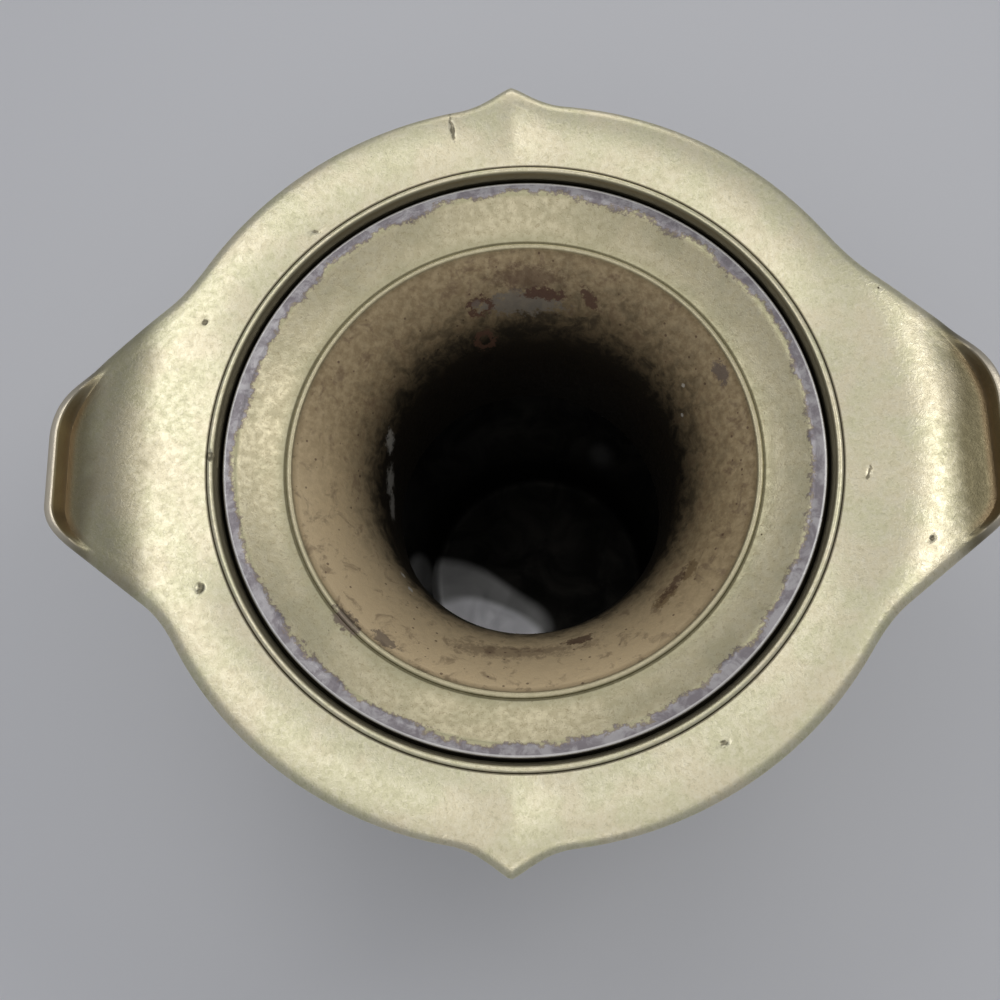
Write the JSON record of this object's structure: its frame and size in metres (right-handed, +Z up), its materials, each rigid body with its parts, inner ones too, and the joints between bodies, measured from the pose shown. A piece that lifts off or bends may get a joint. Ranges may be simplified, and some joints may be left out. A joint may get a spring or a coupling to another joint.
{
  "type": "bronze flower vase",
  "caption": "Hollow cast flower vase with a wide eared brim and a loose dish-shaped mouth whose funnel leads into the neck.",
  "frame": {"origin": "middle of the foot's underside, on the surface that the vase stands on", "axes": "+Z up along the vase's axis, X through both ears, Y through the two small points of the brim"},
  "size_m": [0.297, 0.256, 0.1952],
  "materials": {
    "khaki_bronze": "old cast bronze, khaki-gold satin patina with fine mottling, olive on turned-down edges",
    "brown_bronze": "old cast bronze, cream-khaki dish with a worn violet-grey rim and a red-brown stained funnel"
  },
  "bodies": {
    "root": {"vase_body": "khaki_bronze", "mouth_dish": "brown_bronze"}
  },
  "joints": []
}
